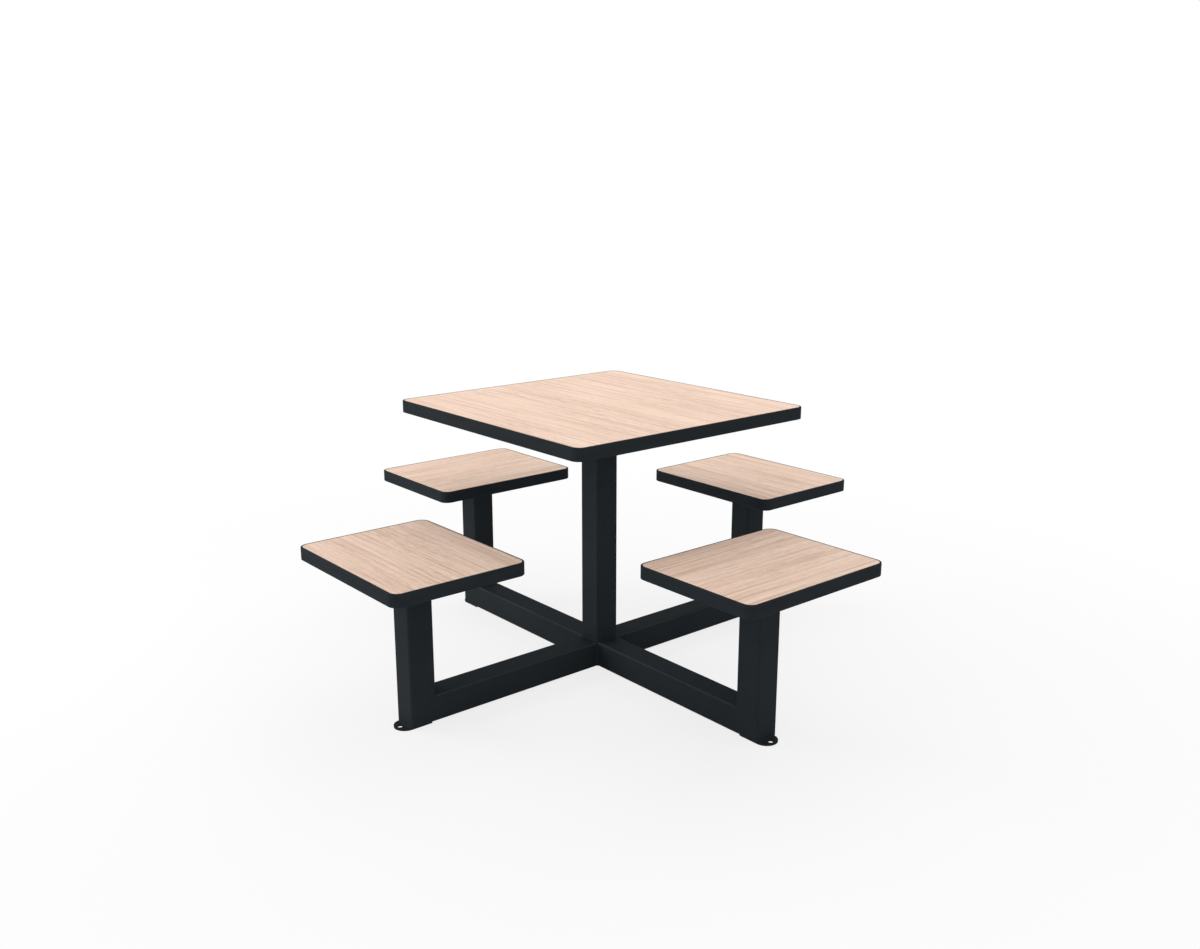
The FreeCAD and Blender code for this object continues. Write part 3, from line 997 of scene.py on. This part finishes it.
@dataclass
class WeldedBase:
    """The fixed frame: column, arms, posts, feet, caps, studs and the welds between them."""

    nodes: Nodes
    coat: bpy.types.Material
    zinc: bpy.types.Material
    welds: WeldSizes = WeldSizes()
    tube_corner: float = 0.006
    coated: tuple[str, ...] = ("column", "top_plate")
    coated_by_side: tuple[str, ...] = ("base_arm", "seat_post", "foot_plate", "post_cap_plate")
    plated_by_side: tuple[str, ...] = ("pivot_stud", "pivot_nut")
    body: str = "base"
    slot: str = "powder_coat"

    def build(self) -> list[bpy.types.Object]:
        """Dress the frame's nodes and fix its welds.

        Returns:
            The frame's pieces.
        """
        pieces = self.dress()
        for beads in self.model_welds():
            pieces.append(mount(beads, self.body, self.coat))
        return pieces

    def dress(self) -> list[bpy.types.Object]:
        """Coat the steel of the frame, and plate the studs and nuts.

        Returns:
            The dressed nodes.
        """
        finishes = dict.fromkeys(self.coated, self.coat)
        for side in Side:
            finishes.update({f"{kind}_{side.label}": self.coat for kind in self.coated_by_side})
            finishes.update({f"{kind}_{side.label}": self.zinc for kind in self.plated_by_side})
        return dress_nodes(self.nodes, finishes)

    def model_welds(self) -> list[bpy.types.Object]:
        """Model each kind of bead once, at the front, and copy it to its other places.

        Returns:
            The welds of the arms, of the top plate and of each post.
        """
        front, *others = Side
        low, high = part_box("column")
        half = high.x
        flat = 2 * (half - self.tube_corner)
        toe = front.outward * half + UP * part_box("base_arm_front")[1].z
        faces = (front.outward, UP)
        level = CornerWeld(toe, front.sideways, faces, flat, self.welds).model()
        corner = (front.outward + front.sideways) * half + UP * (low.z + half)
        faces = (front.outward, front.sideways)
        upright = CornerWeld(corner, UP, faces, flat, self.welds).model()
        top = UP * high.z
        ring = RingWeld("top_plate_weld", top, 2 * half, self.tube_corner, self.welds).model()

        post_low, post_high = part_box("seat_post_front")
        axis = ((post_low + post_high) / 2).xy.to_3d()
        outer = axis + front.outward * half + UP * post_low.z
        foot = copy_to(level, "bead", outer - toe)
        cap = copy_to(ring, "bead", axis + UP * post_high.z - top)
        posts = [join(f"post_welds_{front.label}", [foot, cap])]
        arms = [join("column_welds", [level, upright])]
        for side in others:
            posts.append(copy_to(posts[0], f"post_welds_{side.label}", turn=side.turn))
            arms.append(copy_to(arms[0], "bead", turn=side.turn))
        return [join("column_welds", arms), ring, *posts]


@dataclass(frozen=True)
class ScrewSizes:
    """The sizes of a hexagon-head wood screw with a flange."""

    head_flats: float = 0.010
    head_thick: float = 0.004
    head_sides: int = 6
    head_turn: float = math.radians(30)
    crown: float = 0.0007
    crown_inset_share: float = 0.16
    flange_reach: float = 0.0012
    flange_thick: float = 0.0011
    flange_round_share: float = 0.45
    shank_radius: float = 0.003
    point: float = 0.006
    point_tip_share: float = 0.2
    facets: int = 24
    round_steps: int = 2

    @property
    def head_radius(self) -> float:
        """The head's size from its middle to a corner."""
        return self.head_flats / math.sqrt(3)

    @property
    def flange_radius(self) -> float:
        """The flange's radius, past the head's corners."""
        return self.head_radius + self.flange_reach


@dataclass(frozen=True)
class HexScrews:
    """The four hexagon-head screws of one plate, in the place of the node that has them plain."""

    name: str
    node: str
    sizes: ScrewSizes
    other_corners: tuple[tuple[int, int], ...] = ((-1, 0), (-1, -1), (0, -1))

    def model(self) -> bpy.types.Object:
        """Model one screw and copy it to the plate's other corners.

        Returns:
            The screws as one piece.
        """
        low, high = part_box(self.node)
        reach = (high.x - low.x) / 2 - self.sizes.head_radius
        middle = (low + high) / 2
        first = Vector((middle.x + reach, middle.y + reach, low.z))
        head = self.model_head(first)
        shank = self.model_shank(first, high.z - low.z)
        screws = [join("screw", [head, shank])]
        for along, across in self.other_corners:
            step = Vector((along, across, 0)) * 2 * reach
            screws.append(copy_to(screws[0], "screw", step))
        return join(self.name, screws)

    def model_head(self, place: Vector) -> bpy.types.Object:
        """Model a screw's hexagon with its crowned underside.

        Args:
            place: the middle of the head's underside.

        Returns:
            The hexagon.
        """
        sizes = self.sizes
        thick = sizes.head_thick - sizes.flange_thick
        head = Workpiece(
            "screw",
            bpy.ops.mesh.primitive_cylinder_add,
            vertices=sizes.head_sides,
            radius=sizes.head_radius,
            depth=thick,
            location=place + UP * (thick / 2),
            rotation=(0, 0, sizes.head_turn),
        )
        head.choose(Element.FACES, faces_down)
        bpy.ops.mesh.inset(thickness=sizes.head_radius * sizes.crown_inset_share)
        head.choose(Element.EDGES, lambda edge: in_lower_half(edge) and edge.is_manifold)
        bpy.ops.mesh.bevel(offset=sizes.crown, segments=sizes.round_steps, affect="EDGES")
        return head.close()

    def model_shank(self, place: Vector, length: float) -> bpy.types.Object:
        """Model a screw's flange, shank and point.

        Args:
            place: the middle of the head's underside.
            length: the whole screw's length.

        Returns:
            The flange with the shank on it.
        """
        sizes = self.sizes
        shank = Workpiece(
            "screw",
            bpy.ops.mesh.primitive_cylinder_add,
            vertices=sizes.facets,
            radius=sizes.flange_radius,
            depth=sizes.flange_thick,
            location=place + UP * (sizes.head_thick - sizes.flange_thick / 2),
        )
        shank.choose(Element.EDGES, in_lower_half)
        rounding = sizes.flange_thick * sizes.flange_round_share
        bpy.ops.mesh.bevel(offset=rounding, segments=sizes.round_steps, affect="EDGES")
        shank.choose(Element.FACES, faces_up)
        bpy.ops.mesh.inset(thickness=sizes.flange_radius - sizes.shank_radius)
        shank.draw_out(UP * (length - sizes.head_thick - sizes.point))
        shank.draw_out(UP * sizes.point, (sizes.point_tip_share, sizes.point_tip_share, 1.0))
        return shank.close()


@dataclass
class TableTop:
    """The table's panel: board, laminate, edge band and screws."""

    nodes: Nodes
    oak: bpy.types.Material
    band: bpy.types.Material
    board: bpy.types.Material
    zinc: bpy.types.Material
    screws: ScrewSizes = ScrewSizes()
    body: str = "base"
    slot: str = "zinc_steel"

    def build(self) -> list[bpy.types.Object]:
        """Dress the panel's layers and fit the screws under the top plate.

        Returns:
            The panel's pieces.
        """
        finishes = {
            "table_laminate": self.oak,
            "table_edge_band": self.band,
            "table_board": self.board,
        }
        screws = HexScrews("table_hex_screws", "table_screws", self.screws).model()
        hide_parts("table_screws")
        return dress_nodes(self.nodes, finishes) + [mount(screws, self.body, self.zinc)]


@dataclass
class SwivelSeats:
    """The four swivel seats, each with its panel, plate, bearing and screws."""

    nodes: Nodes
    oak: dict[Grain, bpy.types.Material]
    band: bpy.types.Material
    board: bpy.types.Material
    coat: bpy.types.Material
    acetal: bpy.types.Material
    zinc: bpy.types.Material
    screws: ScrewSizes = ScrewSizes()
    slot: str = "zinc_steel"

    def build(self) -> list[bpy.types.Object]:
        """Dress each seat's layers and its swivel, and fit the screws under the swivel plates.

        Returns:
            The seats' pieces.
        """
        pieces = []
        for side, screws in self.model_screws().items():
            label = side.label
            finishes = {
                f"seat_laminate_{label}": self.oak[side.grain],
                f"seat_edge_band_{label}": self.band,
                f"seat_board_{label}": self.board,
                f"swivel_plate_{label}": self.coat,
                f"swivel_bearing_{label}": self.acetal,
            }
            pieces += dress_nodes(self.nodes, finishes)
            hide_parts(f"seat_screws_{label}")
            pieces.append(mount(screws, f"seat_{label}", self.zinc))
        return pieces

    def model_screws(self) -> dict[Side, bpy.types.Object]:
        """Model the front seat's screws and copy them to the other seats.

        Returns:
            Each side's screws.
        """
        front, *others = Side
        node = f"seat_screws_{front.label}"
        screws = {front: HexScrews(f"seat_hex_screws_{front.label}", node, self.screws).model()}
        for side in others:
            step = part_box(f"seat_screws_{side.label}")[0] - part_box(node)[0]
            screws[side] = copy_to(screws[front], f"seat_hex_screws_{side.label}", step)
        return screws


@dataclass(frozen=True)
class Softbox:
    """A soft square lamp that points at the middle of the object."""

    name: str
    place: Vector
    side: float
    watts: float
    aim: Vector = Vector((0, 0, 0.5))

    def build(self) -> None:
        """Hang the lamp."""
        light = bpy.data.lights.new(self.name, "AREA")
        light.shape = "SQUARE"
        light.size = self.side
        light.energy = self.watts
        lamp = bpy.data.objects.new(self.name, light)
        lamp.location = self.place
        lamp.rotation_euler = (self.aim - self.place).to_track_quat("-Z", "Y").to_euler()
        bpy.context.scene.collection.objects.link(lamp)


@dataclass(frozen=True)
class Studio:
    """A plain white studio: floor, lamps, world and camera."""

    floor_tone: Colour = (0.93, 0.93, 0.93, 1.0)
    floor_roughness: float = 0.9
    floor_radius: float = 40.0
    floor_sides: int = 96
    near_glow: float = 0.8
    fade_start: float = 0.9
    fade_end: float = 2.2
    room_light: float = 0.62
    lamps: tuple[Softbox, ...] = (
        Softbox("key_lamp", Vector((-2.2, -1.9, 2.0)), side=1.2, watts=21.0),
        Softbox("low_lamp", Vector((-1.8, -2.4, 0.6)), side=0.8, watts=14.0),
        Softbox("top_lamp", Vector((0.08, 0.1, 2.2)), side=1.8, watts=9.2),
        Softbox("back_lamp", Vector((0.0, 2.6, 2.0)), side=1.4, watts=10.4),
    )
    camera_place: Vector = Vector((2.31475, -1.93841, 1.31157))
    camera_tilt: float = math.radians(75.581)
    camera_turn: float = math.radians(50.017)
    lens: float = 34.937
    sensor_width: float = 36.0

    def build(self) -> None:
        """Set the stage, the light and the camera."""
        self.build_floor()
        self.build_world()
        for lamp in self.lamps:
            lamp.build()
        self.build_camera()

    def build_floor(self) -> None:
        """Lay a pale floor that keeps the object's shadow and fades to white away from it."""
        bpy.ops.object.select_all(action="DESELECT")
        bpy.ops.mesh.primitive_circle_add(
            vertices=self.floor_sides, radius=self.floor_radius, fill_type="NGON"
        )
        floor = bpy.context.active_object
        floor.name = "floor"
        graph = Graph.of_material("floor_paper")
        place = graph.parts(graph.place())
        distance = place.output("X").hypotenuse(place.output("Y"))
        fade = self.near_glow + distance.graded(self.fade_start, self.fade_end) * (1 - self.near_glow)
        paper = Term(graph, graph.tree.nodes["Principled BSDF"].outputs[0])
        matt = {"Roughness": self.floor_roughness, "Specular IOR Level": 0.0}
        graph.shade({"Base Color": self.floor_tone, **matt})
        glow = graph.node("ShaderNodeEmission", inputs={"Color": WHITE, "Strength": WHITE_STRENGTH})
        surface = graph.node("ShaderNodeMixShader", inputs={0: fade * graph.seen(), 1: paper, 2: glow})
        graph.feed(graph.tree.nodes["Material Output"], {"Surface": surface})
        dress(floor, graph.material)

    def build_world(self) -> None:
        """Fill the room with even light, and show it white."""
        world = bpy.data.worlds.new("studio")
        world.use_nodes = True
        bpy.context.scene.world = world
        graph = Graph(world.node_tree)
        room = graph.node("ShaderNodeBackground", inputs={"Color": WHITE, "Strength": self.room_light})
        backdrop = graph.node("ShaderNodeBackground", inputs={"Color": WHITE, "Strength": WHITE_STRENGTH})
        surface = graph.node("ShaderNodeMixShader", inputs={0: graph.seen(), 1: room, 2: backdrop})
        graph.feed(graph.tree.nodes["World Output"], {"Surface": surface})

    def build_camera(self) -> None:
        """Put the camera where the photographer's was."""
        lens = bpy.data.cameras.new("camera")
        lens.lens = self.lens
        lens.sensor_width = self.sensor_width
        lens.sensor_fit = "HORIZONTAL"
        camera = bpy.data.objects.new("camera", lens)
        camera.location = self.camera_place
        camera.rotation_euler = (self.camera_tilt, 0.0, self.camera_turn)
        bpy.context.scene.collection.objects.link(camera)
        bpy.context.scene.camera = camera
        bpy.context.scene.view_settings.view_transform = "Standard"


def main() -> None:
    """Dress the frame, the table and its seats, report each piece, and set the studio round them."""
    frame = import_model()
    nodes = frame["nodes"]
    logging.basicConfig(level=logging.INFO, format="%(message)s")

    post_low, post_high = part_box("seat_post_right")
    coat = PowderCoat(
        "charcoal_powder_coat",
        arm_top=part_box("base_arm_right")[1].z,
        arm_reach=post_low.x,
        tube_half=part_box("column")[1].x,
        tube_corner=WeldedBase.tube_corner,
    ).build()
    band = EdgeBand("charcoal_edge_band").build()
    zinc = ZincPlate("zinc_plate").build()
    acetal = TurnedAcetal("black_acetal", (post_low.x + post_high.x) / 2).build()
    table_board = BackedBoard("backed_table_board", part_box("table_board")[0].z).build()
    seat_board = BackedBoard("backed_seat_board_front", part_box("seat_board_front")[0].z).build()
    oak = {grain: OakLaminate(f"oak_laminate_{grain.value}", grain).build() for grain in Grain}

    base = WeldedBase(nodes, coat, zinc)
    table = TableTop(nodes, oak[Grain.X], band, table_board, zinc)
    seats = SwivelSeats(nodes, oak, band, seat_board, coat, acetal, zinc)
    for assembly in (base, table, seats):
        for piece in assembly.build():
            finish = piece.material_slots[0].material.name
            LOG.info("%s: %s, %d faces", piece.name, finish, len(piece.data.polygons))

    Studio().build()


if __name__ == "__main__":
    main()
